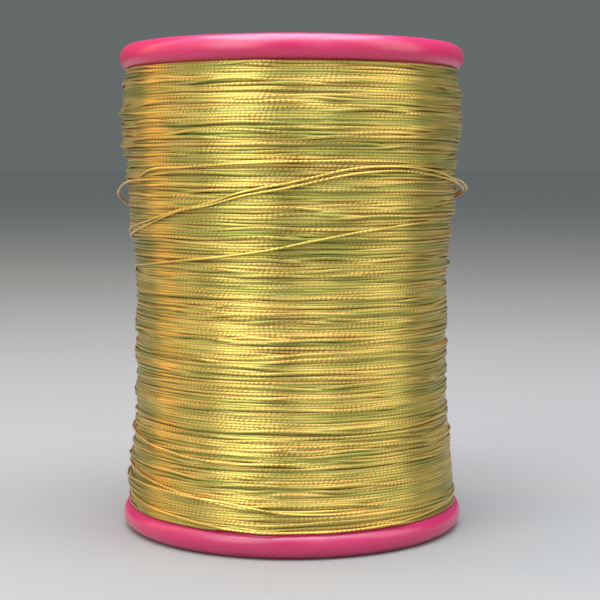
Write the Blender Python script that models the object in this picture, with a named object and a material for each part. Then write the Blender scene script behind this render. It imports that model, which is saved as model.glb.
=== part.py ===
"""A full reel of metallic embroidery thread.

Two identical moulded flanges plug into the ends of a tubular barrel. The inner layers of
thread fill the barrel between them, and the outer layer is wound over those as one thread.
The reel stands on its bottom flange: the origin is the centre of the lower end, +Z is the
reel's axis, and azimuths are counted from the front, -Y, towards +X.
"""
import math

import bmesh
import bpy
from mathutils import Matrix, Vector
from mathutils.geometry import intersect_point_line

MM = 0.001

# Reel
REEL_HEIGHT = 70.0 * MM
FLANGE_DIAMETER = 50.0 * MM
FIT = 0.3 * MM                      # gap between pieces that seat on each other

# Flange: rim, web and dished end face
RIM_THICKNESS = 3.5 * MM
RIM_WIDTH = 3.8 * MM                # from the flange's edge in to the dished end face
RIM_END_ROUND = 1.8 * MM            # at the end face
RIM_THREAD_ROUND = 1.4 * MM         # at the face that the thread runs against
WEB_THICKNESS = 1.9 * MM
DISH_FILLET = 0.8 * MM
DISH_LIP_ROUND = 0.3 * MM
RIB_COUNT = 8
RIB_WIDTH = 1.4 * MM
RIB_HEIGHT = 0.9 * MM
ROOT = 0.5                          # ribs and keys start this share into the wall they stand on
FLANGE_SEGMENTS = 56

# Flange: hub with the spindle bore
BORE_DIAMETER = 10.0 * MM
HUB_WALL = 2.0 * MM
HUB_SETBACK = 0.5 * MM              # of the hub's end below the rim's
GUIDE_WALL = 1.4 * MM
GUIDE_LENGTH = 6.0 * MM             # spindle guide inside the barrel

# Barrel, and the spigot that plugs into it
BARREL_DIAMETER = 27.0 * MM
BARREL_WALL = 1.8 * MM
SPIGOT_WALL = 1.6 * MM
SPIGOT_LENGTH = 7.0 * MM
SPIGOT_LEAD = 0.6 * MM              # lead-in chamfer
KEY_COUNT = 3
KEY_WIDTH = 2.4 * MM
KEY_LENGTH = 3.5 * MM
BARREL_SEGMENTS = 48

# Thread. Each pair is a share of the way up between the flanges, and how far the winding
# lies inside the flange's edge there.
THREAD_DIAMETER = 0.36 * MM
WINDING_OUTLINE = [
    (0.00, 0.7 * MM),
    (0.08, 1.1 * MM),
    (0.20, 1.9 * MM),
    (0.40, 2.2 * MM),
    (0.56, 2.1 * MM),
    (0.66, 1.3 * MM),
    (0.78, 0.9 * MM),
    (0.89, 0.3 * MM),
    (1.00, 0.8 * MM),
]
PACK_RINGS = 16
OUTER_LOOPS = 23
POINTS_PER_LOOP = 24
END_BEND = 0.8 * MM                 # radius of the thread's turn at each end of the layer
END_BEND_POINTS = 4

# Slack turn: azimuth in degrees, share of the way up between the flanges, and how far the
# thread's middle stands off the winding.
LOOSE_ROUTE = [
    (-118.0, 0.575, 0.50 * MM),
    (-84.0, 0.635, 0.52 * MM),
    (-56.0, 0.662, 0.50 * MM),
    (-28.0, 0.703, 0.50 * MM),
    (0.0, 0.743, 0.50 * MM),
    (20.0, 0.772, 0.50 * MM),
    (36.0, 0.777, 0.50 * MM),
    (53.0, 0.765, 0.54 * MM),
    (74.0, 0.742, 0.70 * MM),
    (86.0, 0.727, 0.78 * MM),
    (97.0, 0.707, 0.66 * MM),
    (116.0, 0.690, 0.50 * MM),
]
LOOSE_POINTS_PER_SPAN = 4

# Worked out from the sizes above
FLANGE_RADIUS = FLANGE_DIAMETER / 2
BORE_RADIUS = BORE_DIAMETER / 2
HUB_RADIUS = BORE_RADIUS + HUB_WALL
BARREL_RADIUS = BARREL_DIAMETER / 2
BARREL_BORE_RADIUS = BARREL_RADIUS - BARREL_WALL
SPIGOT_RADIUS = BARREL_BORE_RADIUS - FIT
WINDING_HEIGHT = REEL_HEIGHT - 2 * RIM_THICKNESS
THREAD_RADIUS = THREAD_DIAMETER / 2


def material(name, colour, roughness, metallic=0.0):
    mat = bpy.data.materials.new(name)
    mat.use_nodes = True
    shader = mat.node_tree.nodes["Principled BSDF"]
    shader.inputs["Base Color"].default_value = (*colour, 1.0)
    shader.inputs["Roughness"].default_value = roughness
    shader.inputs["Metallic"].default_value = metallic
    mat.diffuse_color = (*colour, 1.0)
    return mat


def add_object(name, mesh, mat, sharp_degrees=35.0):
    mesh.materials.append(mat)
    mesh.shade_smooth()
    mesh.set_sharp_from_angle(angle=math.radians(sharp_degrees))
    obj = bpy.data.objects.new(name, mesh)
    bpy.context.scene.collection.objects.link(obj)
    return obj


def mesh_from(bm, name):
    bmesh.ops.recalc_face_normals(bm, faces=bm.faces)
    mesh = bpy.data.meshes.new(name)
    bm.to_mesh(mesh)
    bm.free()
    return mesh


def corner(centre_radius, centre_height, size, start_degrees, turn_degrees, steps):
    """Points (radius, height) of a rounded corner of a turned profile."""
    points = []
    for step in range(steps + 1):
        angle = math.radians(start_degrees + turn_degrees * step / steps)
        points.append((
            centre_radius + size * math.cos(angle),
            centre_height + size * math.sin(angle),
        ))
    return points


def turned(outline, segments):
    """A closed outline of (radius, height) points, spun once round the Z axis."""
    bm = bmesh.new()
    verts = [bm.verts.new((radius, 0.0, height)) for radius, height in outline]
    edges = [bm.edges.new((verts[i - 1], verts[i])) for i in range(len(verts))]
    bmesh.ops.spin(
        bm,
        geom=verts + edges,
        cent=(0.0, 0.0, 0.0),
        axis=(0.0, 0.0, 1.0),
        angle=2 * math.pi,
        steps=segments,
        use_merge=True,
    )
    return bm


def guide_box(name, size, centre, azimuth_degrees=0.0):
    """A guide solid for a Boolean: a box whose centre is turned round the Z axis."""
    bm = bmesh.new()
    turn = Matrix.Rotation(math.radians(azimuth_degrees), 4, "Z")
    bmesh.ops.create_cube(
        bm,
        size=1.0,
        matrix=turn @ Matrix.Translation(centre) @ Matrix.Diagonal((*size, 1.0)),
    )
    obj = bpy.data.objects.new(name, mesh_from(bm, name))
    bpy.context.scene.collection.objects.link(obj)
    obj.hide_render = True
    obj.display_type = "WIRE"
    return obj


def boolean(obj, tool, operation):
    modifier = obj.modifiers.new(f"{operation.lower()}_{tool.name}", "BOOLEAN")
    modifier.operation = operation
    modifier.solver = "EXACT"
    modifier.object = tool


# --- Moulded parts -----------------------------------------------------------------------

def flange_outline():
    """Section of the flange with its end face at height 0 and its thread face above."""
    dish_radius = FLANGE_RADIUS - RIM_WIDTH
    dish_floor = RIM_THICKNESS - WEB_THICKNESS
    fillet = min(DISH_FILLET, 0.45 * dish_floor)
    spigot_inside = SPIGOT_RADIUS - SPIGOT_WALL
    spigot_end = RIM_THICKNESS + SPIGOT_LENGTH
    guide_end = RIM_THICKNESS + GUIDE_LENGTH
    guide_radius = BORE_RADIUS + GUIDE_WALL

    outline = []
    # Rim, from the end face round the edge to the thread face
    outline += corner(FLANGE_RADIUS - RIM_END_ROUND, RIM_END_ROUND, RIM_END_ROUND, -90, 90, 5)
    outline += corner(
        FLANGE_RADIUS - RIM_THREAD_ROUND,
        RIM_THICKNESS - RIM_THREAD_ROUND,
        RIM_THREAD_ROUND,
        0, 90, 3,
    )
    # Spigot
    outline += [
        (SPIGOT_RADIUS, RIM_THICKNESS),
        (SPIGOT_RADIUS, spigot_end - SPIGOT_LEAD),
        (SPIGOT_RADIUS - SPIGOT_LEAD, spigot_end),
        (spigot_inside, spigot_end),
        (spigot_inside, RIM_THICKNESS),
    ]
    # Spindle guide and bore
    outline += [
        (guide_radius, RIM_THICKNESS),
        (guide_radius, guide_end),
        (BORE_RADIUS, guide_end),
        (BORE_RADIUS, HUB_SETBACK),
        (HUB_RADIUS, HUB_SETBACK),
    ]
    # Dished end face
    outline += corner(HUB_RADIUS + fillet, dish_floor - fillet, fillet, 180, -90, 2)
    outline += corner(dish_radius - fillet, dish_floor - fillet, fillet, 90, -90, 2)
    outline += corner(
        dish_radius + DISH_LIP_ROUND,
        DISH_LIP_ROUND,
        DISH_LIP_ROUND,
        180, 90, 1,
    )
    return outline


def make_flange(name, mat, upside_down):
    bm = turned(flange_outline(), FLANGE_SEGMENTS)
    obj = add_object(name, mesh_from(bm, name), mat)

    # Radial ribs across the dished end face
    dish_floor = RIM_THICKNESS - WEB_THICKNESS
    rib_start = HUB_RADIUS - ROOT * HUB_WALL
    rib_end = FLANGE_RADIUS - ROOT * RIM_WIDTH
    rib_bottom = dish_floor - RIB_HEIGHT
    rib_top = dish_floor + ROOT * WEB_THICKNESS
    for index in range(RIB_COUNT):
        rib = guide_box(
            f"{name}_rib_{index + 1}",
            (rib_end - rib_start, RIB_WIDTH, rib_top - rib_bottom),
            ((rib_start + rib_end) / 2, 0.0, (rib_bottom + rib_top) / 2),
            azimuth_degrees=360.0 * (index + 0.5) / RIB_COUNT,
        )
        place(rib, upside_down)
        boolean(obj, rib, "UNION")

    # Keys on the spigot, which fit the barrel's slots
    key_start = SPIGOT_RADIUS - ROOT * SPIGOT_WALL
    key_end = BARREL_RADIUS
    key_bottom = RIM_THICKNESS - ROOT * WEB_THICKNESS
    key_top = RIM_THICKNESS + KEY_LENGTH
    for index in range(KEY_COUNT):
        key = guide_box(
            f"{name}_key_{index + 1}",
            (key_end - key_start, KEY_WIDTH, key_top - key_bottom),
            ((key_start + key_end) / 2, 0.0, (key_bottom + key_top) / 2),
            azimuth_degrees=key_azimuth(index, upside_down),
        )
        place(key, upside_down)
        boolean(obj, key, "UNION")

    place(obj, upside_down)
    return obj


def key_azimuth(index, upside_down):
    """Where a key lies on the flange before it is placed."""
    azimuth = 360.0 * index / KEY_COUNT + 90.0
    return -azimuth if upside_down else azimuth


def place(obj, upside_down):
    """Leave a piece on the bottom flange's place, or turn it over onto the top's."""
    if upside_down:
        obj.location = (0.0, 0.0, REEL_HEIGHT)
        obj.rotation_euler = (math.pi, 0.0, 0.0)


def make_barrel(mat):
    bottom = RIM_THICKNESS + FIT
    top = REEL_HEIGHT - RIM_THICKNESS - FIT
    outline = [
        (BARREL_RADIUS, bottom),
        (BARREL_RADIUS, top),
        (BARREL_BORE_RADIUS, top),
        (BARREL_BORE_RADIUS, bottom),
    ]
    obj = add_object("barrel", mesh_from(turned(outline, BARREL_SEGMENTS), "barrel"), mat)

    # A slot for each flange's keys, cut into both ends
    slot_depth = KEY_LENGTH + FIT
    radial_start = BARREL_BORE_RADIUS - FIT
    radial_end = BARREL_RADIUS + FIT
    for end, height in (("bottom", RIM_THICKNESS), ("top", REEL_HEIGHT - RIM_THICKNESS)):
        for index in range(KEY_COUNT):
            slot = guide_box(
                f"barrel_slot_{end}_{index + 1}",
                (radial_end - radial_start, KEY_WIDTH + 2 * FIT, 2 * slot_depth),
                ((radial_start + radial_end) / 2, 0.0, height),
                azimuth_degrees=key_azimuth(index, False),
            )
            boolean(obj, slot, "DIFFERENCE")
    return obj


# --- Thread ------------------------------------------------------------------------------

def winding_radius(height):
    """Radius over the outer turns, smooth through the points of the winding's outline."""
    share = (height - RIM_THICKNESS) / WINDING_HEIGHT
    share = min(max(share, 0.0), 1.0)
    shares = [point[0] for point in WINDING_OUTLINE]
    radii = [FLANGE_RADIUS - point[1] for point in WINDING_OUTLINE]
    return smooth_value(shares, radii, share)


def smooth_value(knots, values, at):
    """Cubic Hermite reading of values given at rising knots."""
    last = len(knots) - 1
    span = max(i for i in range(last) if knots[i] <= at or i == 0)

    def slope(i):
        low = max(i - 1, 0)
        high = min(i + 1, last)
        return (values[high] - values[low]) / (knots[high] - knots[low])

    width = knots[span + 1] - knots[span]
    t = (at - knots[span]) / width
    return (
        values[span] * (1 + 2 * t) * (1 - t) ** 2
        + slope(span) * width * t * (1 - t) ** 2
        + values[span + 1] * (3 - 2 * t) * t ** 2
        - slope(span + 1) * width * t ** 2 * (1 - t)
    )


def pack_radius(height):
    """Radius of the inner layers, clear of the straight sides of the outer loops."""
    loop_side = math.cos(math.pi / POINTS_PER_LOOP)
    return winding_radius(height) * loop_side - THREAD_DIAMETER - FIT


def make_thread_pack(mat):
    bottom = RIM_THICKNESS + FIT
    top = REEL_HEIGHT - RIM_THICKNESS - FIT
    bore = BARREL_RADIUS + FIT
    outline = [(bore, bottom)]
    for ring in range(PACK_RINGS + 1):
        height = bottom + (top - bottom) * ring / PACK_RINGS
        outline.append((pack_radius(height), height))
    outline.append((bore, top))
    mesh = mesh_from(turned(outline, BARREL_SEGMENTS), "thread_pack")
    return add_object("thread_pack", mesh, mat)


def on_reel(azimuth, radius, height):
    """A point at an azimuth in radians from the front, -Y, towards +X."""
    return Vector((radius * math.sin(azimuth), -radius * math.cos(azimuth), height))


def outer_turn_height(azimuth):
    """Height of the outer layer's thread after it has wound through an azimuth."""
    start = REEL_HEIGHT - RIM_THICKNESS - FIT - THREAD_DIAMETER - END_BEND
    end = RIM_THICKNESS + FIT + THREAD_DIAMETER + END_BEND
    return start + (end - start) * azimuth / (2 * math.pi * OUTER_LOOPS)


def end_bend(azimuth, height, way_round, way_up):
    """Points from the helix to the flange: a quarter turn, then straight up or down."""
    radius = winding_radius(height) - THREAD_RADIUS
    points = []
    for step in range(1, END_BEND_POINTS + 1):
        angle = math.radians(90.0 * step / END_BEND_POINTS)
        along = way_round * END_BEND * math.sin(angle) / radius
        rise = way_up * END_BEND * (1 - math.cos(angle))
        points.append(on_reel(azimuth + along, radius, height + rise))
    straight = way_up * (END_BEND + THREAD_DIAMETER)
    points.append(on_reel(azimuth + way_round * END_BEND / radius, radius, height + straight))
    return points


def outer_turn_points():
    points = []
    steps = OUTER_LOOPS * POINTS_PER_LOOP
    for step in range(steps + 1):
        azimuth = 2 * math.pi * step / POINTS_PER_LOOP
        height = outer_turn_height(azimuth)
        points.append(on_reel(azimuth, winding_radius(height) - THREAD_RADIUS, height))
    last_azimuth = 2 * math.pi * OUTER_LOOPS
    first_bend = end_bend(0.0, outer_turn_height(0.0), -1, 1)
    last_bend = end_bend(last_azimuth, outer_turn_height(last_azimuth), 1, -1)
    return first_bend[::-1] + points + last_bend


def least_gap(points, apart, diameter):
    """Least clear distance between stretches of a tube at least `apart` points apart."""
    nearest = math.inf
    for i, point in enumerate(points):
        for j in range(i + apart, min(i + 3 * apart, len(points) - 1)):
            foot, share = intersect_point_line(point, points[j], points[j + 1])
            foot = points[j].lerp(points[j + 1], min(max(share, 0.0), 1.0))
            nearest = min(nearest, (foot - point).length)
    return nearest - diameter


def thread_tube(name, points, mat):
    curve = bpy.data.curves.new(name, "CURVE")
    curve.dimensions = "3D"
    curve.twist_mode = "Z_UP"
    curve.bevel_depth = THREAD_RADIUS
    curve.bevel_resolution = 1
    curve.use_fill_caps = True
    spline = curve.splines.new("POLY")
    spline.points.add(len(points) - 1)
    for spline_point, point in zip(spline.points, points):
        spline_point.co = (*point, 1.0)
    curve.materials.append(mat)
    obj = bpy.data.objects.new(name, curve)
    bpy.context.scene.collection.objects.link(obj)
    return obj


def make_outer_turns(mat):
    points = outer_turn_points()
    gap = least_gap(points, POINTS_PER_LOOP // 2, THREAD_DIAMETER)
    print(f"outer_turns: least gap to itself {gap / MM:.2f} mm")
    return thread_tube("outer_turns", points, mat)


def height_between_turns(azimuth, near_height):
    """Middle of the space between two outer turns at an azimuth, next to a height."""
    pitch = outer_turn_height(0.0) - outer_turn_height(2 * math.pi)
    turns = (outer_turn_height(azimuth) - near_height) / pitch
    return outer_turn_height(azimuth) - (math.floor(turns) + 0.5) * pitch


def loose_end(azimuth, near_height, way_round):
    """Points that take the slack turn's end down between two turns, square to the pack."""
    height = height_between_turns(azimuth, near_height)
    foot = pack_radius(height) + FIT
    riding = winding_radius(height) + FIT + THREAD_RADIUS
    bend = riding - foot - THREAD_DIAMETER
    points = []
    for step in range(END_BEND_POINTS + 1):
        angle = math.radians(90.0 * step / END_BEND_POINTS)
        along = way_round * bend * math.sin(angle) / riding
        points.append(on_reel(azimuth + along, riding - bend * (1 - math.cos(angle)), height))
    points.append(on_reel(azimuth + way_round * bend / riding, foot, height))
    return points


def loose_strand_points():
    azimuths = [math.radians(point[0]) for point in LOOSE_ROUTE]
    heights = [RIM_THICKNESS + WINDING_HEIGHT * point[1] for point in LOOSE_ROUTE]
    standoffs = [point[2] for point in LOOSE_ROUTE]
    heights[0] = height_between_turns(azimuths[0], heights[0])
    heights[-1] = height_between_turns(azimuths[-1], heights[-1])
    points = []
    steps = LOOSE_POINTS_PER_SPAN * (len(LOOSE_ROUTE) - 1)
    for step in range(1, steps):
        index = step / LOOSE_POINTS_PER_SPAN
        knots = list(range(len(LOOSE_ROUTE)))
        azimuth = smooth_value(knots, azimuths, index)
        height = smooth_value(knots, heights, index)
        radius = winding_radius(height) + smooth_value(knots, standoffs, index)
        points.append(on_reel(azimuth, radius, height))
    start = loose_end(azimuths[0], heights[0], -1)
    end = loose_end(azimuths[-1], heights[-1], 1)
    return start[::-1] + points + end


def make_loose_strand(mat):
    return thread_tube("loose_strand", loose_strand_points(), mat)


def main():
    for obj in list(bpy.data.objects):
        bpy.data.objects.remove(obj, do_unlink=True)

    pink_plastic = material("hot_pink_moulded_plastic", (0.60, 0.03, 0.13), 0.30)
    barrel_plastic = material("pink_tube_plastic", (0.62, 0.08, 0.18), 0.40)
    pack_thread = material("gold_thread_inner_layers", (0.30, 0.24, 0.06), 0.55, 0.5)
    gold_thread = material("gold_metallic_thread", (0.56, 0.44, 0.10), 0.38, 0.8)

    make_flange("bottom_flange", pink_plastic, upside_down=False)
    make_flange("top_flange", pink_plastic, upside_down=True)
    make_barrel(barrel_plastic)
    make_thread_pack(pack_thread)
    make_outer_turns(gold_thread)
    make_loose_strand(gold_thread)


main()
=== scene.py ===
"""Looks of a full reel of gold metallic embroidery thread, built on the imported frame.

Lengths are in millimetres until a mesh is made. Azimuths are in degrees, counted from the
front, -Y, towards +X.
"""
import math

import bmesh
import bpy
import numpy as np
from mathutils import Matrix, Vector


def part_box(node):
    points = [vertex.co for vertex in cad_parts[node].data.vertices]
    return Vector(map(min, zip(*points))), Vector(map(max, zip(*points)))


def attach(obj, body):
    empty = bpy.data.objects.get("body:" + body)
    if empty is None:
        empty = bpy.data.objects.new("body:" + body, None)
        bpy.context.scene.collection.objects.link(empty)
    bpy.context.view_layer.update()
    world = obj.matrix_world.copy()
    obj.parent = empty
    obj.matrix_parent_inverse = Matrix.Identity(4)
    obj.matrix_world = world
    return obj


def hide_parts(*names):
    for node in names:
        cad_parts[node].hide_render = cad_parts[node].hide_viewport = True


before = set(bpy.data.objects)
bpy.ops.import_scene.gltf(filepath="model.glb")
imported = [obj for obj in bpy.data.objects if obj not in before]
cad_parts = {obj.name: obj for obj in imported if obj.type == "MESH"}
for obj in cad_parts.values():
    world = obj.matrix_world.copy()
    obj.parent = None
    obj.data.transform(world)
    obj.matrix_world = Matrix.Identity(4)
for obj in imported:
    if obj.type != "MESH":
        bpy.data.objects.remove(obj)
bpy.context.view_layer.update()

MM = 0.001

# --- Reel: sizes read from the frame, and those that a box doesn't give --------------------

FIT = 0.3                                    # gap between pieces that seat on each other
FLANGE_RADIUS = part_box("bottom_flange")[1].x / MM
REEL_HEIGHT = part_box("top_flange")[1].z / MM
RIM_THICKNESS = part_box("thread_pack")[0].z / MM - FIT
BARREL_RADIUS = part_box("barrel")[1].x / MM
SPIGOT_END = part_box("bottom_flange")[1].z / MM

RIM_WIDTH = 3.8                              # from the flange's edge in to the dish
RIM_END_ROUND = 1.8                          # at the end face
RIM_THREAD_ROUND = 1.4                       # at the face that the thread runs against
DISH_DEPTH = 1.6
DISH_FILLET = 0.7
EDGE_ROUND = 0.25
BORE_RADIUS = 5.0                            # spindle bore
HUB_WALL = 2.0
HUB_SETBACK = 0.5                            # of the hub's end below the rim's
GUIDE_WALL = 1.4
GUIDE_LENGTH = 6.0                           # spindle guide inside the barrel
BARREL_WALL = 1.8
SPIGOT_WALL = 1.6
SPIGOT_LEAD = 0.6                            # lead-in chamfer
KEY_COUNT = 3
KEY_WIDTH = 2.4
KEY_LENGTH = 3.5
RIB_COUNT = 8
RIB_WIDTH = 1.4
RIB_HEIGHT = 0.9
RIB_ROUND = 0.3
ROOT = 1.0                                   # depth of ribs and keys in the web they stand on
FLANGE_SEGMENTS = 192

HUB_RADIUS = BORE_RADIUS + HUB_WALL
DISH_RADIUS = FLANGE_RADIUS - RIM_WIDTH
SPIGOT_RADIUS = BARREL_RADIUS - BARREL_WALL - FIT
GUIDE_RADIUS = BORE_RADIUS + GUIDE_WALL

# --- Thread -------------------------------------------------------------------------------

PACK_BOTTOM = RIM_THICKNESS
PACK_TOP = REEL_HEIGHT - RIM_THICKNESS
THREAD = 0.36                                # diameter
PRESSED_WIDTH = 0.43                         # the same thread where it is wound under tension
PRESSED_DEPTH = 0.22
BEDDED = 0.27                                # between the middles of two turns that cross
LAYER_DEPTH = 0.27                           # what one layer adds to the winding's radius
TWIST = 0.68                                 # length along the thread of one wrap of its film
WRAP_DRIFT = 3.5                             # wraps by which uneven winding shifts the marks
MARK_LENGTH = 12.0                           # stretch over which the marks open and close
STREAK_LENGTH = 16.0                         # streaks of tone over turns laid together
STREAK_HEIGHT = 0.8                          # two threads
POINTS = 96                                  # per turn
SIDES = 8
SEAM = 180.0                                 # azimuth at which a layer starts

# Share of the way up between the flanges, and how far the winding lies inside their edge
WINDING_OUTLINE = [
    (0.00, 0.75),
    (0.08, 1.1),
    (0.20, 1.9),
    (0.40, 2.2),
    (0.56, 2.1),
    (0.66, 1.3),
    (0.78, 0.9),
    (0.89, 0.3),
    (1.00, 0.8),
]

# The layers that are laid turn by turn: name, whether it is wound upwards, how irregular it
# is, how firmly the traverse guides the thread, number of pieces, and the node it stands for
LAYERS = [
    ("deep_turns", False, 0.7, 0.12, 2, "thread_pack"),
    ("under_turns", True, 0.8, 0.08, 2, "thread_pack"),
    ("outer_turns", False, 0.7, 0.06, 6, "outer_turns"),
]

# Slack turns that cross the winding: azimuth, height, and how far the thread stands off what
# lies under it. Below 0 it dips between the turns.
SLACK_TURNS = {
    "upper_crossing": [
        (-118, 39.7, -0.5), (-104, 41.3, 0.0), (-84, 43.4, 0.02), (-56, 45.2, 0.02),
        (-40, 46.7, 0.02), (-28, 47.7, 0.02), (-17, 49.1, 0.02), (0, 50.5, 0.02),
        (20, 52.3, 0.02), (36, 52.6, 0.02), (53, 52.0, 0.02), (68, 51.0, 0.2),
        (80, 50.3, 0.9), (88, 49.4, 1.4), (96, 48.3, 0.9), (106, 47.4, 0.2), (118, 46.9, -0.5),
    ],
    "lower_crossing": [
        (-114, 40.2, -0.5), (-100, 41.2, 0.0), (-84, 42.5, 0.02), (-66, 43.8, 0.02),
        (-50, 45.4, 0.02), (-38, 46.7, 0.1), (-28, 47.4, 0.02), (-17, 48.6, 0.02),
        (0, 49.9, 0.02), (20, 51.6, 0.02), (36, 52.0, 0.02), (53, 51.4, 0.02),
        (68, 50.7, 0.1), (80, 49.9, 0.5), (90, 49.1, 0.7), (100, 48.3, 0.2), (112, 47.9, -0.5),
    ],
    "waist_crossing": [
        (-100, 37.3, -0.5), (-84, 38.1, 0.0), (-56, 39.2, 0.02), (-22, 40.7, 0.02),
        (-8, 41.5, 0.02), (10, 43.0, 0.02), (25, 44.0, 0.02), (45, 44.8, 0.0), (64, 45.2, -0.5),
    ],
    "left_kink": [
        (-63, 50.9, -0.4), (-59, 51.5, 0.1), (-55, 52.0, 0.12), (-37, 52.5, 0.02),
        (-15, 53.0, 0.02), (10, 53.3, 0.02), (35, 53.2, 0.0), (58, 52.8, -0.5),
    ],
    "left_loop": [
        (-40, 50.9, -0.5), (-56, 50.8, 0.0), (-68, 50.6, 0.1), (-79, 49.9, 0.7),
        (-88, 48.5, 1.3), (-96, 47.3, 0.8), (-106, 46.8, 0.1), (-120, 46.6, -0.5),
    ],
    "lowest_crossing": [
        (-84, 5.6, -0.5), (-66, 5.3, 0.0), (-52, 4.95, 0.1), (-39, 4.6, 0.15), (-27, 4.2, 0.2),
        (-20, 3.95, 0.25), (-12, 3.8, 0.25), (0, 3.75, 0.2), (20, 3.8, 0.1), (45, 4.2, 0.0),
        (70, 4.8, -0.5),
    ],
    "lower_left_upper": [
        (-98, 15.4, -0.5), (-84, 15.0, 0.1), (-66, 14.2, 0.15), (-50, 13.5, 0.15),
        (-38, 13.0, 0.1), (-27, 12.8, 0.05), (-10, 12.8, 0.0), (10, 12.9, -0.5),
    ],
    "lower_left_lower": [
        (-96, 10.2, -0.5), (-82, 9.8, 0.1), (-66, 9.2, 0.15), (-52, 8.6, 0.15),
        (-38, 8.0, 0.15), (-24, 7.2, 0.1), (-8, 6.6, 0.05), (12, 6.5, 0.0), (34, 6.6, -0.5),
    ],
    "lower_left_lowest": [
        (-100, 8.2, -0.5), (-84, 7.8, 0.15), (-66, 7.9, 0.15), (-50, 7.9, 0.12),
        (-31, 7.7, 0.12), (-20, 7.4, 0.12), (-12, 6.9, 0.1), (-4, 6.4, 0.05), (10, 6.1, 0.0),
        (30, 6.0, -0.5),
    ],
    "back_upper": [
        (96, 57.0, -0.5), (112, 56.4, 0.0), (140, 54.6, 0.05), (165, 52.4, 0.05),
        (190, 49.9, 0.1), (215, 48.1, 0.05), (236, 47.0, 0.0), (252, 46.5, -0.5),
    ],
    "back_lower": [
        (110, 24.4, -0.5), (126, 25.0, 0.0), (150, 26.6, 0.05), (176, 28.9, 0.1),
        (204, 30.6, 0.05), (232, 31.6, 0.0), (250, 31.9, -0.5),
    ],
}
SLACK_START = 900.0                          # from one slack turn's start along the thread to
                                             # the next one's, so that their marks differ
SLACK_FINENESS = 3                           # points of a slack turn to one of a wound turn

# Where turns stand out at the sides: azimuth, height, how far, and over what height
BULGES = [
    (-88, 64.3, 0.35, 0.5),
    (-84, 60.0, 0.45, 0.9),
    (-88, 55.6, 0.50, 1.2),
    (-82, 51.6, 0.35, 0.9),
    (-86, 44.6, 0.30, 0.8),
    (-84, 36.4, 0.30, 1.0),
    (-88, 30.2, 0.45, 1.4),
    (-86, 25.4, 0.40, 1.2),
    (-84, 20.6, 0.40, 0.9),
    (-88, 10.4, 0.35, 1.0),
    (-84, 6.6, 0.30, 0.8),
    (84, 62.4, 0.30, 0.9),
    (88, 58.0, 0.30, 1.2),
    (88, 46.3, 0.20, 0.6),
    (86, 30.4, 0.20, 0.8),
    (90, 12.8, 0.20, 0.8),
]
BULGE_SPREAD = 16.0                          # degrees of azimuth


# --- Helpers ------------------------------------------------------------------------------

def linear(hex_colour):
    """An sRGB hex colour as linear RGBA."""
    parts = [int(hex_colour[i:i + 2], 16) / 255 for i in (1, 3, 5)]
    parts = [c / 12.92 if c <= 0.04045 else ((c + 0.055) / 1.055) ** 2.4 for c in parts]
    return (*parts, 1.0)


def add(tree, kind, inputs=None, **settings):
    """Adds a node with its settings. An input is a value, or a socket to link from."""
    node = tree.nodes.new(kind)
    for name, value in settings.items():
        setattr(node, name, value)
    for name, value in (inputs or {}).items():
        if isinstance(value, bpy.types.NodeSocket):
            tree.links.new(value, node.inputs[name])
        else:
            node.inputs[name].default_value = value
    return node


def new_material(name):
    """A new material, its node tree and its shader."""
    material = bpy.data.materials.new(name)
    material.use_nodes = True
    return material, material.node_tree, material.node_tree.nodes["Principled BSDF"]


def smooth_curve(knots, values, at):
    """Cubic Hermite reading of values given at rising knots."""
    knots = np.asarray(knots, float)
    values = np.asarray(values, float)
    slopes = np.gradient(values, knots)
    span = np.clip(np.searchsorted(knots, at, side="right") - 1, 0, len(knots) - 2)
    width = knots[span + 1] - knots[span]
    t = (at - knots[span]) / width
    return (
        values[span] * (1 + 2 * t) * (1 - t) ** 2
        + slopes[span] * width * t * (1 - t) ** 2
        + values[span + 1] * (3 - 2 * t) * t ** 2
        - slopes[span + 1] * width * t ** 2 * (1 - t)
    )


def winding_radius(height):
    """Radius over the outer turns."""
    share = np.clip((height - PACK_BOTTOM) / (PACK_TOP - PACK_BOTTOM), 0, 1)
    shares, depths = zip(*WINDING_OUTLINE)
    return FLANGE_RADIUS - smooth_curve(shares, depths, share)


def core_radius(height):
    """Radius of the inner layers, on which the modelled turns are wound."""
    return winding_radius(height) - LAYER_DEPTH * len(LAYERS)


def azimuth_of(steps):
    """Azimuth of a thread's points, which are numbered from the seam."""
    return SEAM + 360 * steps / POINTS


def on_reel(azimuths, radii, heights):
    """Points at azimuths, radii and heights."""
    angle = np.radians(azimuths)
    return np.stack([radii * np.sin(angle), -radii * np.cos(angle), heights], axis=1)


# --- Materials ----------------------------------------------------------------------------

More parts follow.
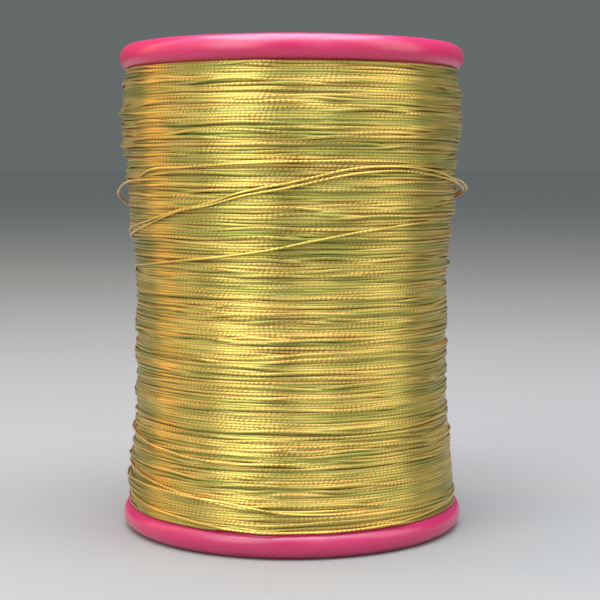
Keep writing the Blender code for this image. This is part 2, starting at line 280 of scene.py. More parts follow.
def gold_thread(name, olive, gold, olive_painted_shading, gold_painted_shading):
    """Metallic embroidery thread: a strip of gold film wrapped round a brown core.

    The film mirrors the room in upright bands. Its wraps leave fine slanting marks, in which
    the core shows, and these open and close along the thread. Turns that were laid together
    share a tone, olive or gold. On the thread's flanks, between two turns, the colour is
    painted shading for the shadow of the neighbouring turn, greener or redder than the tone.
    """
    material, tree, shader = new_material(name)
    uv = add(tree, "ShaderNodeUVMap", uv_map="along_thread")
    split = add(tree, "ShaderNodeSeparateXYZ", {"Vector": uv.outputs["UV"]})
    along, around = split.outputs["X"], split.outputs["Y"]

    # How far the marks are open drifts along the thread
    place = add(tree, "ShaderNodeMath", {0: along, 1: 1 / MARK_LENGTH}, operation="MULTIPLY")
    drift = add(
        tree, "ShaderNodeTexNoise",
        {"W": place.outputs[0], "Scale": 1.0, "Detail": 2.0, "Roughness": 0.6},
        noise_dimensions="1D",
    )
    # The wraps lie closer and wider by turns, as the film was wound on unevenly
    wraps = add(tree, "ShaderNodeMath", {0: along, 1: 1 / TWIST}, operation="MULTIPLY")
    uneven = add(
        tree, "ShaderNodeMath",
        {0: drift.outputs["Fac"], 1: WRAP_DRIFT, 2: wraps.outputs[0]}, operation="MULTIPLY_ADD",
    )
    phase = add(tree, "ShaderNodeMath", {0: uneven.outputs[0], 1: around}, operation="ADD")
    angle = add(
        tree, "ShaderNodeMath", {0: phase.outputs[0], 1: 2 * math.pi}, operation="MULTIPLY")
    wave = add(tree, "ShaderNodeMath", {0: angle.outputs[0]}, operation="SINE")
    mark = add(
        tree, "ShaderNodeMapRange",
        {"Value": wave.outputs[0], "From Min": -0.6, "From Max": 1.0},
    )
    opening = add(
        tree, "ShaderNodeMapRange",
        {
            "Value": drift.outputs["Fac"],
            "From Min": 0.38, "From Max": 0.64, "To Min": 0.1, "To Max": 0.9,
        },
    )
    open_mark = add(
        tree, "ShaderNodeMath",
        {0: mark.outputs["Result"], 1: opening.outputs["Result"]}, operation="MULTIPLY",
    )
    # Level streaks of tone
    coordinates = add(tree, "ShaderNodeTexCoord")
    level = add(
        tree, "ShaderNodeMapping",
        {"Vector": coordinates.outputs["Object"], "Scale": (1, 1, STREAK_LENGTH / STREAK_HEIGHT)},
    )
    streak = add(
        tree, "ShaderNodeTexNoise",
        {
            "Vector": level.outputs["Vector"],
            "Scale": 1 / (STREAK_LENGTH * MM), "Detail": 3.0, "Roughness": 0.6,
        },
    )
    streak_share = add(
        tree, "ShaderNodeMapRange",
        {"Value": streak.outputs["Fac"], "From Min": 0.38, "From Max": 0.60},
    )
    film = add(
        tree, "ShaderNodeMix",
        {"Factor": streak_share.outputs["Result"], "A": linear(olive), "B": linear(gold)},
        data_type="RGBA",
    )
    # Painted shading for the flanks between turns, tinted like the shadow of the neighbouring
    # turn
    painted_flank_shading = add(
        tree, "ShaderNodeMix",
        {
            "Factor": streak_share.outputs["Result"],
            "A": linear(olive_painted_shading), "B": linear(gold_painted_shading),
        },
        data_type="RGBA",
    )
    marked = add(
        tree, "ShaderNodeMix",
        {"Factor": open_mark.outputs[0], "A": film.outputs["Result"], "B": linear("#9A803E")},
        data_type="RGBA",
    )
    # 1 on the crest of the thread, falling to 0 on its flanks, where painted shading takes over
    turn = add(tree, "ShaderNodeMath", {0: around, 1: 2 * math.pi}, operation="MULTIPLY")
    facing = add(tree, "ShaderNodeMath", {0: turn.outputs[0]}, operation="COSINE")
    crest = add(
        tree, "ShaderNodeMapRange",
        {"Value": facing.outputs[0], "From Min": 0.35, "From Max": 0.8},
    )
    colour = add(
        tree, "ShaderNodeMix",
        {
            "Factor": crest.outputs["Result"],
            "A": painted_flank_shading.outputs["Result"], "B": marked.outputs["Result"],
        },
        data_type="RGBA",
    )
    bump = add(
        tree, "ShaderNodeBump",
        {"Height": mark.outputs["Result"], "Strength": 0.4, "Distance": 0.03 * MM},
    )
    # The film is bent across the thread, so lamps blur across it and stay narrow along it
    tangent = add(
        tree, "ShaderNodeTangent", direction_type="UV_MAP", uv_map="along_thread")
    tree.links.new(colour.outputs["Result"], shader.inputs["Base Color"])
    tree.links.new(bump.outputs["Normal"], shader.inputs["Normal"])
    tree.links.new(tangent.outputs["Tangent"], shader.inputs["Tangent"])
    shader.inputs["Metallic"].default_value = 0.72
    shader.inputs["Roughness"].default_value = 0.34
    shader.inputs["Anisotropic"].default_value = 0.95
    shader.inputs["Anisotropic Rotation"].default_value = 0.25
    return material


def packed_thread():
    """The same thread in the layers below, seen only through gaps: dull, darker than the outer
    turns and darkest in level lines between turns, as painted shading.
    """
    material, tree, shader = new_material("gold_thread_packed_layers_painted_shading")
    coordinates = add(tree, "ShaderNodeTexCoord")
    split = add(tree, "ShaderNodeSeparateXYZ", {"Vector": coordinates.outputs["Object"]})
    angle = add(
        tree, "ShaderNodeMath",
        {0: split.outputs["Z"], 1: 2 * math.pi / (THREAD * MM)}, operation="MULTIPLY",
    )
    wave = add(tree, "ShaderNodeMath", {0: angle.outputs[0]}, operation="SINE")
    line = add(
        tree, "ShaderNodeMapRange",
        {"Value": wave.outputs[0], "From Min": -1.0, "From Max": 1.0},
    )
    # Painted shading: dark brown in the level lines between turns, and darker overall than the
    # outer thread
    colour = add(
        tree, "ShaderNodeMix",
        {"Factor": line.outputs["Result"], "A": linear("#7A5A34"), "B": linear("#B8924E")},
        data_type="RGBA",
    )
    bump = add(
        tree, "ShaderNodeBump",
        {"Height": line.outputs["Result"], "Strength": 0.6, "Distance": 0.1 * MM},
    )
    tree.links.new(colour.outputs["Result"], shader.inputs["Base Color"])
    tree.links.new(bump.outputs["Normal"], shader.inputs["Normal"])
    shader.inputs["Metallic"].default_value = 0.6
    shader.inputs["Roughness"].default_value = 0.5
    return material


def moulded_plastic(name, low, high, smooth, dull):
    """Injection-moulded polystyrene: glossy, a little translucent, with a fine mould grain.

    `low` and `high` are the tones that the colouring drifts between, and `smooth` and `dull`
    are the roughness of polished and of scuffed places.
    """
    cloud_size, scuff_size, grain_size = 9.0, 2.2, 0.45
    material, tree, shader = new_material(name)
    coordinates = add(tree, "ShaderNodeTexCoord")
    place = coordinates.outputs["Object"]
    cloud = add(
        tree, "ShaderNodeTexNoise",
        {"Vector": place, "Scale": 1 / (cloud_size * MM), "Detail": 2.0, "Roughness": 0.5},
    )
    scuff = add(
        tree, "ShaderNodeTexNoise",
        {"Vector": place, "Scale": 1 / (scuff_size * MM), "Detail": 5.0, "Roughness": 0.65},
    )
    grain = add(
        tree, "ShaderNodeTexNoise",
        {"Vector": place, "Scale": 1 / (grain_size * MM), "Detail": 2.0, "Roughness": 0.6},
    )
    colour = add(
        tree, "ShaderNodeMix",
        {"Factor": cloud.outputs["Fac"], "A": linear(low), "B": linear(high)},
        data_type="RGBA",
    )
    roughness = add(
        tree, "ShaderNodeMapRange",
        {
            "Value": scuff.outputs["Fac"],
            "From Min": 0.35, "From Max": 0.72, "To Min": smooth, "To Max": dull,
        },
    )
    bump = add(
        tree, "ShaderNodeBump",
        {"Height": grain.outputs["Fac"], "Strength": 0.10, "Distance": 0.04 * MM},
    )
    tree.links.new(colour.outputs["Result"], shader.inputs["Base Color"])
    tree.links.new(roughness.outputs["Result"], shader.inputs["Roughness"])
    tree.links.new(bump.outputs["Normal"], shader.inputs["Normal"])
    shader.inputs["IOR"].default_value = 1.59
    shader.inputs["Coat Weight"].default_value = 0.35
    shader.inputs["Coat Roughness"].default_value = 0.25
    shader.inputs["Subsurface Weight"].default_value = 0.9
    shader.inputs["Subsurface Radius"].default_value = (1.0, 0.35, 0.6)
    shader.inputs["Subsurface Scale"].default_value = 6.0 * MM
    return material


# --- Modelling by hand --------------------------------------------------------------------

NEAR = 0.01                                  # how far off a place looked up in a mesh may be
LEVEL = 0.99                                 # a level face's normal has at least this Z
DISC_REACH = 0.5                             # a disc's centre is at most this far off the axis


def deselect():
    bpy.ops.object.select_all(action="DESELECT")


def make_active(obj):
    """Selects an object alone."""
    deselect()
    bpy.context.view_layer.objects.active = obj
    obj.select_set(True)


def select_faces(obj, wanted):
    """In edit mode, selects the faces whose centre and normal are wanted."""
    bpy.ops.mesh.select_mode(type="FACE")
    bm = bmesh.from_edit_mesh(obj.data)
    for face in bm.faces:
        face.select_set(False)
    chosen = [face for face in bm.faces if wanted(face.calc_center_median() / MM, face.normal)]
    for face in chosen:
        face.select_set(True)
    bmesh.update_edit_mesh(obj.data)


def is_disc(centre, normal):
    """Whether a face is a level disc on the reel's axis."""
    return abs(normal.z) > LEVEL and math.hypot(centre.x, centre.y) < DISC_REACH


def select_end_disc(obj, height, facing):
    """Selects the disc that closes the piece at a height and faces up, 1, or down, -1."""
    select_faces(obj, lambda centre, normal: (
        is_disc(centre, normal) and abs(centre.z - height) < NEAR and normal.z * facing > 0
    ))


def select_ring(obj, radius, height):
    """In edit mode, selects the ring of edges at a radius and height."""
    bpy.ops.mesh.select_mode(type="EDGE")
    bm = bmesh.from_edit_mesh(obj.data)
    for edge in bm.edges:
        edge.select_set(False)

    def on_ring(vert):
        away = abs(math.hypot(vert.co.x, vert.co.y) / MM - radius)
        return away < NEAR and abs(vert.co.z / MM - height) < NEAR

    for edge in bm.edges:
        if on_ring(edge.verts[0]) and on_ring(edge.verts[1]):
            edge.select_set(True)
    bmesh.update_edit_mesh(obj.data)


def inset(width):
    """Draws a smaller disc inside the selected one."""
    bpy.ops.mesh.inset(thickness=width * MM, depth=0, use_even_offset=False)


def push(distance):
    """Extrudes the selected disc along the reel's axis."""
    bpy.ops.mesh.extrude_region_move(TRANSFORM_OT_translate={"value": (0, 0, distance * MM)})


def make_bar(name, size, centre, azimuth, round_size):
    """A bar with rounded edges that lies along a radius, as a rib or a key.

    The size is its length, width and height, and the azimuth is counted from +X.
    """
    deselect()
    bpy.ops.mesh.primitive_cube_add(size=MM, location=(0, 0, 0))
    bar = bpy.context.object
    bar.name = bar.data.name = name
    bpy.ops.object.mode_set(mode="EDIT")
    bpy.ops.transform.resize(value=size)
    bpy.ops.mesh.bevel(offset=round_size * MM, segments=3, affect="EDGES")
    bpy.ops.transform.translate(value=[value * MM for value in centre])
    # With no window, this operator turns the other way
    bpy.ops.transform.rotate(
        value=-math.radians(azimuth), orient_axis="Z", center_override=(0, 0, 0))
    bpy.ops.object.mode_set(mode="OBJECT")
    return bar


def fuse(obj, bar):
    """Joins a bar to a piece."""
    modifier = obj.modifiers.new(bar.name, "BOOLEAN")
    modifier.operation = "UNION"
    modifier.object = bar
    make_active(obj)
    bpy.ops.object.modifier_apply(modifier=modifier.name)
    bpy.data.objects.remove(bar)


# --- Flanges ------------------------------------------------------------------------------

def shape_end_face(flange):
    """Rim, dish, hub and the lower end of the bore."""
    select_end_disc(flange, 0, -1)
    inset(RIM_WIDTH)
    push(DISH_DEPTH)
    inset(DISH_RADIUS - HUB_RADIUS)
    push(HUB_SETBACK - DISH_DEPTH)
    inset(HUB_WALL)


def shape_thread_face(flange):
    """Spigot, the gap inside it, the spindle guide and the upper end of the bore."""
    select_end_disc(flange, RIM_THICKNESS, 1)
    inset(FLANGE_RADIUS - SPIGOT_RADIUS)
    push(SPIGOT_END - RIM_THICKNESS)
    inset(SPIGOT_WALL)
    push(RIM_THICKNESS - SPIGOT_END)
    inset(SPIGOT_RADIUS - SPIGOT_WALL - GUIDE_RADIUS)
    push(GUIDE_LENGTH)
    inset(GUIDE_WALL)


def round_flange_edges(flange):
    # Radius and height of each ring of edges, the size of its rounding and its segments
    rings = [
        (FLANGE_RADIUS, 0, RIM_END_ROUND, 10),
        (FLANGE_RADIUS, RIM_THICKNESS, RIM_THREAD_ROUND, 8),
        (DISH_RADIUS, 0, EDGE_ROUND, 3),
        (DISH_RADIUS, DISH_DEPTH, DISH_FILLET, 4),
        (HUB_RADIUS, DISH_DEPTH, DISH_FILLET / 2, 3),
        (HUB_RADIUS, HUB_SETBACK, EDGE_ROUND, 3),
        (BORE_RADIUS, HUB_SETBACK, EDGE_ROUND, 3),
        (BORE_RADIUS, RIM_THICKNESS + GUIDE_LENGTH, EDGE_ROUND, 2),
        (SPIGOT_RADIUS, SPIGOT_END, SPIGOT_LEAD, 1),
    ]
    for radius, height, size, segments in rings:
        select_ring(flange, radius, height)
        bpy.ops.mesh.bevel(offset=size * MM, segments=segments, affect="EDGES")


def add_ribs(flange):
    """Radial ribs across the dish."""
    start = HUB_RADIUS - HUB_WALL / 2
    end = DISH_RADIUS + RIM_WIDTH / 3
    bottom = DISH_DEPTH - RIB_HEIGHT
    top = DISH_DEPTH + ROOT
    for index in range(RIB_COUNT):
        fuse(flange, make_bar(
            f"rib_{index}",
            (end - start, RIB_WIDTH, top - bottom),
            ((start + end) / 2, 0, (bottom + top) / 2),
            360 * (index + 0.5) / RIB_COUNT,
            RIB_ROUND,
        ))


def add_keys(flange):
    """Keys on the spigot, which fit the barrel's slots."""
    start = SPIGOT_RADIUS - SPIGOT_WALL / 2
    end = BARREL_RADIUS
    bottom = RIM_THICKNESS - ROOT
    top = RIM_THICKNESS + KEY_LENGTH
    for index in range(KEY_COUNT):
        fuse(flange, make_bar(
            f"key_{index}",
            (end - start, KEY_WIDTH, top - bottom),
            ((end + start) / 2, 0, (bottom + top) / 2),
            360 * index / KEY_COUNT + 90,
            EDGE_ROUND / 2,
        ))


def finish_flange(flange, material, node):
    make_active(flange)
    bpy.ops.object.shade_smooth_by_angle(angle=math.radians(32))
    flange.data.materials.clear()
    flange.data.materials.append(material)
    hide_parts(node)
    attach(flange, "root")


def make_bottom_flange(material):
    deselect()
    bpy.ops.mesh.primitive_cylinder_add(
        vertices=FLANGE_SEGMENTS, radius=FLANGE_RADIUS * MM, depth=RIM_THICKNESS * MM,
        location=(0, 0, 0))
    flange = bpy.context.object
    flange.name = flange.data.name = "moulded_flange_bottom"
    bpy.ops.object.mode_set(mode="EDIT")
    bpy.ops.transform.translate(value=(0, 0, RIM_THICKNESS / 2 * MM))
    shape_end_face(flange)
    shape_thread_face(flange)
    # The bore goes right through, between the two discs that are left
    select_faces(flange, is_disc)
    bpy.ops.mesh.bridge_edge_loops()
    round_flange_edges(flange)
    bpy.ops.mesh.select_all(action="SELECT")
    bpy.ops.mesh.normals_make_consistent(inside=False)
    bpy.ops.object.mode_set(mode="OBJECT")
    add_ribs(flange)
    add_keys(flange)
    finish_flange(flange, material, "bottom_flange")
    return flange


def make_top_flange(bottom, material):
    """The same moulding, turned over onto the barrel's upper end."""
    flange = bpy.data.objects.new("moulded_flange_top", bottom.data.copy())
    flange.data.name = flange.name
    bpy.context.scene.collection.objects.link(flange)
    make_active(flange)
    bpy.ops.object.mode_set(mode="EDIT")
    bpy.ops.mesh.select_all(action="SELECT")
    bpy.ops.transform.rotate(
        value=math.pi, orient_axis="Y", center_override=(0, 0, REEL_HEIGHT / 2 * MM))
    bpy.ops.object.mode_set(mode="OBJECT")
    finish_flange(flange, material, "top_flange")


def dress_barrel(material):
    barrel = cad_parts["barrel"]
    barrel.data.materials.clear()
    barrel.data.materials.append(material)


# --- Winding ------------------------------------------------------------------------------

ROW = 0.04                                   # height of one row of the winding's surface map

# How a turn settles: in each pass it slides down the groove and the hill that it lies on,
# by a share of their slope and no more than LARGEST_SLIDE, and its bends are evened out
SETTLE_PASSES = 14
GROOVE_REACH = 2 * ROW
GROOVE_PULL = 0.35
HILL_REACH = 9 * ROW
HILL_PULL = 0.15
LARGEST_SLIDE = 0.03
EVENING = 0.5
TIGHTEN_PASSES = 40
AHEAD = POINTS // 5                          # points that are settled before their turn comes
JOIN = 10                                    # points over which a turn takes over from the last
PITCH_RANGE = (0.7, 1.6)                     # spacing of turns, as a share of its mean

rng = np.random.default_rng(11)


def wander(turns, step, amplitude):
    """Random values, one every `step` turns, joined by a smooth curve."""
    knots = np.arange(0, turns[-1] + 3 * step, step)
    return smooth_curve(knots, rng.normal(0, amplitude, len(knots)), turns)


class Package:
    """The winding's outer radius by height and azimuth, raised by each turn laid on it."""

    def __init__(self):
        self.rows = int(round((PACK_TOP - PACK_BOTTOM) / ROW)) + 1
        heights = PACK_BOTTOM + ROW * np.arange(self.rows)
        self.surface = np.repeat(core_radius(heights)[:, None], POINTS, axis=1)
        reach = int(BEDDED / 2 / ROW)
        self.offsets = np.arange(-reach, reach + 1)
        self.cap = np.sqrt((BEDDED / 2) ** 2 - (self.offsets * ROW) ** 2)

    def cells(self, steps, heights):
        """Rows and columns of the map that lie under a thread's points."""
        rows = np.rint((heights - PACK_BOTTOM) / ROW).astype(int)[:, None] + self.offsets
        return np.clip(rows, 0, self.rows - 1), (steps % POINTS)[:, None]

    def seat(self, steps, heights):
        """Radius at which the thread's middle rests on what lies below it."""
        rows, columns = self.cells(steps, heights)
        return (self.surface[rows, columns] + self.cap).max(axis=1)

    def cover(self, steps, heights, radii):
        """Raises the map to the top of a thread."""
        rows, columns = self.cells(steps, heights)
        top = radii[:, None] + self.cap
        np.maximum.at(self.surface, (rows, np.broadcast_to(columns, rows.shape)), top)

    def slope(self, steps, heights, reach):
        return self.seat(steps, heights + reach) - self.seat(steps, heights - reach)

    def settle(self, steps, heights, grip):
        """Slides the thread sideways into the grooves below it."""
        guide = heights.copy()
        for _ in range(SETTLE_PASSES):
            groove = GROOVE_PULL * self.slope(steps, heights, GROOVE_REACH)
            hill = HILL_PULL * self.slope(steps, heights, HILL_REACH)
            heights = heights - np.clip(groove, -LARGEST_SLIDE, LARGEST_SLIDE)
            heights = heights - np.clip(hill, -LARGEST_SLIDE, LARGEST_SLIDE)
            middle = (heights[:-2] + heights[2:]) / 2
            heights[1:-1] += EVENING * (middle - heights[1:-1])
            heights += grip * (guide - heights)
        return np.clip(heights, PACK_BOTTOM + PRESSED_WIDTH / 2, PACK_TOP - PRESSED_WIDTH / 2)

    def tighten(self, seat, first):
        """The taut thread's radius: it touches the high places and bridges the rest.

        A straight line has a reciprocal radius that is a cosine of the azimuth, so a point
        between two others is on their line or, where that is too low, on its seat.
        """
        lean = 2 * math.cos(2 * math.pi / POINTS)
        ceiling = 1 / seat
        bend = ceiling.copy()
        if first is not None:
            bend[0] = 1 / first
        for _ in range(TIGHTEN_PASSES):
            bend[1:-1] = np.minimum(ceiling[1:-1], (bend[:-2] + bend[2:]) / lean)
        return 1 / bend


def wind(package, heights, grip):
    """Lays a thread along its guide heights, turn by turn, and returns its heights and radii."""
    count = len(heights)
    radii = np.zeros(count)
    laid = heights.copy()
    first = None
    for start in range(0, count - 1, POINTS):
        stop = min(start + POINTS + AHEAD, count)
        steps = np.arange(start, stop)
        span = package.settle(steps, laid[start:stop].copy(), grip)
        if start:
            blend = np.clip(np.arange(stop - start) / JOIN, 0, 1)
            carried = laid[start] + heights[start:stop] - heights[start]
            span = span * blend + carried * (1 - blend)
        radius = package.tighten(package.seat(steps, span), first)
        keep = min(POINTS, stop - start - 1)
        laid[start:start + keep + 1] = span[:keep + 1]
        radii[start:start + keep + 1] = radius[:keep + 1]
        first = radius[keep]
        package.cover(steps[:keep], span[:keep], radius[:keep])
    return laid, radii


def layer_guide(upwards, irregular):
    """Guide heights of one layer, wound from one flange to the other."""
    length = PACK_TOP - PACK_BOTTOM - THREAD
    turns = int(length / THREAD)
    at = np.arange(turns * POINTS + 1) / POINTS
    pitch = np.clip(1 + wander(at, step=1.3, amplitude=0.20 * irregular), *PITCH_RANGE)
    rise = np.concatenate([[0], np.cumsum(pitch[:-1])])
    heights = PACK_BOTTOM + THREAD / 2 + length * rise / rise[-1]
    heights = heights + wander(at, step=0.37, amplitude=0.11 * irregular)
    heights = heights + wander(at, step=0.14, amplitude=0.03 * irregular)
    heights = np.clip(heights, PACK_BOTTOM + THREAD / 2, PACK_TOP - THREAD / 2)
    return heights if upwards else heights[::-1].copy()


def bulge_out(heights, radii):
    """Lets turns stand out at the sides, where they were wound less tightly."""
    azimuths = azimuth_of(np.arange(len(heights)))
    for azimuth, height, rise, spread in BULGES:
        away = ((azimuths - azimuth + 180) % 360 - 180) / BULGE_SPREAD
        above = (heights - height) / spread
        radii = radii + rise * np.exp(-away ** 2 - above ** 2)
    return radii


def lay_slack_turn(package, route):
    """Path of a slack turn over the winding, along its route."""
    azimuths, heights, stands = np.array(sorted(route), float).T
    first = round((azimuths[0] - SEAM) / 360 * POINTS)
    last = round((azimuths[-1] - SEAM) / 360 * POINTS)
    steps = np.arange(first, last + 1)
    height = smooth_curve(azimuths, heights, azimuth_of(steps))
    radius = package.tighten(package.seat(steps, height), None)
    package.cover(steps, height, radius)
    radius = radius + smooth_curve(azimuths, stands, azimuth_of(steps))
    fine = np.linspace(first, last, SLACK_FINENESS * (last - first) + 1)
    return on_reel(
        azimuth_of(fine),
        smooth_curve(steps, radius, fine),
        smooth_curve(steps, height, fine),
    )


# --- Thread as a tube ---------------------------------------------------------------------

STEP_LENGTH = 1.57                           # between two points of a turn
STRIP_PITCH = 1.25                           # of strips, as a share of the thread's girth
STRIP_GAP = 0.06                             # left free at each side of a strip, of its pitch
SHEET_MARGIN = 0.002                         # left free at both ends of the strips
LEAST_RUN = 4                                # points in a strip
CAP_SIZE = 0.4                               # radius of a cap, as a share of its place


def tube_ring(path, width, depth):
    """Points of a closed tube, SIDES round each point of the path."""
    turn = 2 * np.pi * np.arange(SIDES) / SIDES
    tangent = np.gradient(path, axis=0)
    tangent /= np.linalg.norm(tangent, axis=1)[:, None]
    outward = path * (1, 1, 0)
    outward = outward - tangent * (outward * tangent).sum(1)[:, None]
    outward /= np.linalg.norm(outward, axis=1)[:, None]
    upward = np.cross(tangent, outward)
    ring = outward[:, None] * depth / 2 * np.cos(turn)[None, :, None]
    ring = ring + upward[:, None] * width / 2 * np.sin(turn)[None, :, None]
    return (path[:, None] + ring).reshape(-1, 3)


def thread_map(path, start):
    """Millimetres along the thread, and the share of the way round it, at each corner."""
    length = np.linalg.norm(np.diff(path, axis=0), axis=1)
    length = start + np.concatenate([[0], np.cumsum(length)])
    sides = np.arange(SIDES) / SIDES
    grid = (len(path) - 1, SIDES)
    u0 = np.broadcast_to(length[:-1][:, None], grid)
    u1 = np.broadcast_to(length[1:][:, None], grid)
    v0 = np.broadcast_to(sides[None, :], grid)
    v1 = v0 + 1 / SIDES
    wall = np.stack([u0, v0, u1, v0, u1, v1, u0, v1], -1).reshape(-1, 2)
    caps = [np.stack([np.full(SIDES, end), sides], -1) for end in (length[0], length[-1])]
    return np.concatenate([wall, *caps])


def bake_map(spans):
    """The tube cut into lengths that lie as strips, one above the other, with its two caps
    in a last row."""
    run = max(int(math.sqrt(spans * THREAD * math.pi * STRIP_PITCH / STEP_LENGTH)), LEAST_RUN)
    rows = math.ceil(spans / run) + 1
    i = np.arange(spans)[:, None]
    grid = (spans, SIDES)
    v0 = np.broadcast_to(np.arange(SIDES)[None, :] / SIDES, grid)
    v1 = v0 + 1 / SIDES
    sheet = 1 - 2 * SHEET_MARGIN
    strip = 1 - 2 * STRIP_GAP
    b0 = np.broadcast_to((i % run) / run, grid) * sheet + SHEET_MARGIN
    b1 = b0 + sheet / run
    w0 = (i // run + STRIP_GAP + strip * v0) / rows
    w1 = (i // run + STRIP_GAP + strip * v1) / rows
    parts = [np.stack([b0, w0, b1, w0, b1, w1, b0, w1], -1).reshape(-1, 2)]
    turn = 2 * np.pi * np.arange(SIDES) / SIDES
    for middle in (0.25, 0.75):
        size = CAP_SIZE * min(0.5, 1 / rows)
        circle = size * np.stack([np.cos(turn), np.sin(turn)], -1)
        parts.append(np.array([middle, (rows - 0.5) / rows]) + circle)
    return np.concatenate(parts)


def tube(name, path, start, width, depth, material):
    """A thread as a closed tube along its path: its width lies along the reel, its depth
    across it, and `start` is the reading in millimetres at which its pattern begins.

    The map along_thread carries the pattern. The map OFBake is for baking it.
    """
    spans = len(path) - 1
    verts = tube_ring(path, width, depth) * MM
    i = np.arange(spans)[:, None]
    j = np.arange(SIDES)[None, :]
    k = (j + 1) % SIDES
    corners = [i * SIDES + j, (i + 1) * SIDES + j, (i + 1) * SIDES + k, i * SIDES + k]
    quads = np.stack(corners, axis=-1).reshape(-1, 4)
    caps = np.concatenate([np.arange(SIDES)[::-1], spans * SIDES + np.arange(SIDES)])
    sizes = np.concatenate([np.full(len(quads), 4), np.full(2, SIDES)])

    mesh = bpy.data.meshes.new(name)
    mesh.vertices.add(len(verts))
    mesh.vertices.foreach_set("co", verts.ravel())
    mesh.loops.add(quads.size + caps.size)
    mesh.loops.foreach_set("vertex_index", np.concatenate([quads.ravel(), caps]))
    mesh.polygons.add(len(sizes))
    mesh.polygons.foreach_set("loop_start", np.concatenate([[0], np.cumsum(sizes)[:-1]]))
    mesh.polygons.foreach_set("use_smooth", sizes == 4)
    maps = {"along_thread": thread_map(path, start), "OFBake": bake_map(spans)}
    for map_name, values in maps.items():
        layer = mesh.uv_layers.new(name=map_name)
        layer.uv.foreach_set("vector", values.astype(np.float32).ravel())
    mesh.materials.append(material)
    mesh.update(calc_edges=True)
    mesh.validate()
    obj = bpy.data.objects.new(name, mesh)
    bpy.context.scene.collection.objects.link(obj)
    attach(obj, "root")
    return obj


def build_winding(wound, slack):
    """The three outermost layers, turn by turn, and the slack turns over them."""
    package = Package()
    for label, upwards, irregular, grip, pieces, node in LAYERS:
        heights, radii = wind(package, layer_guide(upwards, irregular), grip)
        if node == "outer_turns":
            radii = bulge_out(heights, radii)
        points = on_reel(azimuth_of(np.arange(len(heights))), radii, heights)
        turns = (len(points) - 1) // POINTS
        for index in range(pieces):
            start = turns * index // pieces * POINTS
            stop = turns * (index + 1) // pieces * POINTS
            travelled = 2 * math.pi * BARREL_RADIUS * start / POINTS
            piece = tube(
                f"{label}_{index + 1}", points[start:stop + 1], travelled,
                PRESSED_WIDTH, PRESSED_DEPTH, wound)
            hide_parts(node)
    for number, (label, route) in enumerate(SLACK_TURNS.items()):
        path = lay_slack_turn(package, route)
        # Slack turns wear the lighter copy of the thread, whose extra lightness is painted light
        piece = tube(
            f"slack_turn_{label}", path, SLACK_START * number, THREAD, THREAD, slack)
        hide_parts("loose_strand")


CORE_RINGS = 40
CORE_SEGMENTS = 128
CORE_CLEARANCE = 0.02                        # under the surface that the first layer is laid on


def build_inner_layers(material):
    """A turned solid for the layers further in, with the barrel's hole through it."""
    bore = BARREL_RADIUS + FIT
    heights = np.linspace(PACK_BOTTOM + FIT / 2, PACK_TOP - FIT / 2, CORE_RINGS)
    radii = core_radius(heights) - CORE_CLEARANCE
    deselect()
    bpy.ops.mesh.primitive_circle_add(
        vertices=CORE_SEGMENTS, radius=bore * MM, location=(0, 0, 0), fill_type="NOTHING")
    core = bpy.context.object
    core.name = core.data.name = "inner_layers"
    bpy.ops.object.mode_set(mode="EDIT")
    bpy.ops.mesh.select_all(action="SELECT")
    bpy.ops.transform.translate(value=(0, 0, heights[0] * MM))
    rings = [(bore, heights[0])] + list(zip(radii, heights)) + [(bore, heights[-1])]
    for (r0, z0), (r1, z1) in zip(rings[:-1], rings[1:]):
        bpy.ops.mesh.extrude_edges_move(
            TRANSFORM_OT_translate={"value": (0, 0, (z1 - z0) * MM)})
        bpy.ops.transform.resize(value=(r1 / r0, r1 / r0, 1), center_override=(0, 0, z1 * MM))
    # The first and last rings are joined by the wall of the hole
    bpy.ops.mesh.select_all(action="DESELECT")
    bpy.ops.mesh.select_mode(type="EDGE")
    bpy.ops.mesh.select_non_manifold()
    bpy.ops.mesh.bridge_edge_loops()
    bpy.ops.mesh.select_all(action="SELECT")
    bpy.ops.mesh.normals_make_consistent(inside=False)
    bpy.ops.object.mode_set(mode="OBJECT")
    bpy.ops.object.shade_smooth_by_angle(angle=math.radians(40))
    core.data.materials.append(material)
    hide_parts("thread_pack")
    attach(core, "root")


# --- Stage --------------------------------------------------------------------------------

FRAME = 600                                  # width and height of the picture, in pixels
AXIS_X = 291.9                               # where the reel's axis stands in it
CAMERA_FOCUS = 1504.0                        # focal length, in its pixels
CAMERA_DISTANCE = 221.9
CAMERA_HEIGHT = 52.5
CAMERA_PITCH = 5.05                          # degrees below level
SENSOR = 36.0
FLOOR_SIZE = 40.0                            # in metres


def build_camera():
    data = bpy.data.cameras.new("camera")
    camera = bpy.data.objects.new("camera", data)
    bpy.context.scene.collection.objects.link(camera)
    data.sensor_width = SENSOR
    data.lens = SENSOR * CAMERA_FOCUS / FRAME
    data.clip_start = 0.01
    yaw = math.atan((FRAME / 2 - AXIS_X) / CAMERA_FOCUS)
    camera.location = (0, -CAMERA_DISTANCE * MM, CAMERA_HEIGHT * MM)
    camera.rotation_euler = (math.radians(90 - CAMERA_PITCH), 0, -yaw)
    bpy.context.scene.camera = camera


def softbox(name, azimuth, spread, radiance, colour, elevation=35, height=1.05, distance=0.8):
    """A soft lamp that spans `spread` degrees of azimuth, aimed at the reel's middle.

    The height and distance are in metres.
    """
    width = 2 * distance * math.tan(math.radians(spread / 2))
    data = bpy.data.lights.new(name, "AREA")
    data.shape = "RECTANGLE"
    data.size, data.size_y = width, height
    data.energy = radiance * math.pi * width * height
    data.color = linear(colour)[:3]
    lamp = bpy.data.objects.new(name, data)
    bpy.context.scene.collection.objects.link(lamp)
    a, e = math.radians(azimuth), math.radians(elevation)
    away = Vector((math.sin(a) * math.cos(e), -math.cos(a) * math.cos(e), math.sin(e)))
    lamp.location = Vector((0, 0, REEL_HEIGHT / 2 * MM)) + away * distance
    lamp.rotation_euler = away.to_track_quat("Z", "Y").to_euler()
    lamp.visible_camera = False


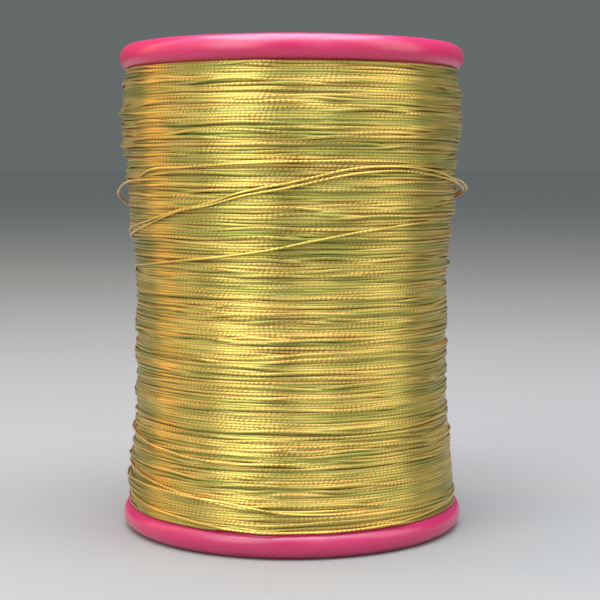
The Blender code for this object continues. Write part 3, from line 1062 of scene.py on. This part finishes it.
def build_floor():
    deselect()
    bpy.ops.mesh.primitive_plane_add(size=FLOOR_SIZE, location=(0, 0, 0))
    floor = bpy.context.object
    floor.name = "floor"
    material, _, shader = new_material("pale_floor")
    shader.inputs["Base Color"].default_value = linear("#969C9C")
    shader.inputs["Roughness"].default_value = 0.8
    floor.data.materials.append(material)


def build_world():
    world = bpy.data.worlds.new("studio")
    world.use_nodes = True
    background = world.node_tree.nodes["Background"]
    background.inputs["Color"].default_value = linear("#D8E2E2")
    background.inputs["Strength"].default_value = 0.19
    bpy.context.scene.world = world


def build_lamps():
    """Lamps side by side round the front, which the thread mirrors as upright bands, one
    overhead for the flanges, and a wide, weak sky."""
    softbox("stripe_left", -107, 14, 3.2, "#FFB26C")
    softbox("wall_left", -76, 40, 0.7, "#FFFFFF")
    softbox("key", -38, 34, 3.05, "#FFFAF2")
    softbox("wall_front", -9, 24, 0.1, "#FFFFFF")
    softbox("strip_front", 17, 18, 1.4, "#FFFAF2")
    softbox("wall_right", 41, 30, 0.5, "#FFFFFF")
    softbox("strip_right", 74, 36, 1.95, "#FFF4E9")
    softbox("overhead", 180, 50, 5.2, "#F2EAFF", elevation=90, height=0.32, distance=0.32)
    sky = bpy.data.lights.new("sky", "SUN")
    sky.angle = math.radians(70)
    sky.energy = 0.75
    lamp = bpy.data.objects.new("sky", sky)
    bpy.context.scene.collection.objects.link(lamp)
    lamp.rotation_euler = (math.radians(12), 0, 0)


# --- The reel and its stage ---------------------------------------------------------------

wound_gold = gold_thread(
    "gold_film_wrapped_thread", "#A4AA52", "#E6D26E", "#B2A052", "#DE9454")
# Slack turns take a lighter, cleaner copy of the thread: painted light, for turns that stand
# proud and catch more of the lamps
slack_gold_painted_lighter = gold_thread(
    "gold_film_wrapped_slack_thread_painted_lighter", "#DCCA60", "#FFE67C", "#A88C40", "#C88840")
flange_pink = moulded_plastic("hot_pink_moulded_polystyrene", "#B41C5C", "#C02466", 0.28, 0.34)
barrel_pink = moulded_plastic("pink_tube_polystyrene", "#B8486A", "#C45878", 0.32, 0.5)

dress_barrel(barrel_pink)
make_top_flange(make_bottom_flange(flange_pink), flange_pink)
build_inner_layers(packed_thread())
build_winding(wound_gold, slack_gold_painted_lighter)
build_camera()
build_floor()
build_world()
build_lamps()
bpy.context.scene.view_settings.view_transform = "Standard"
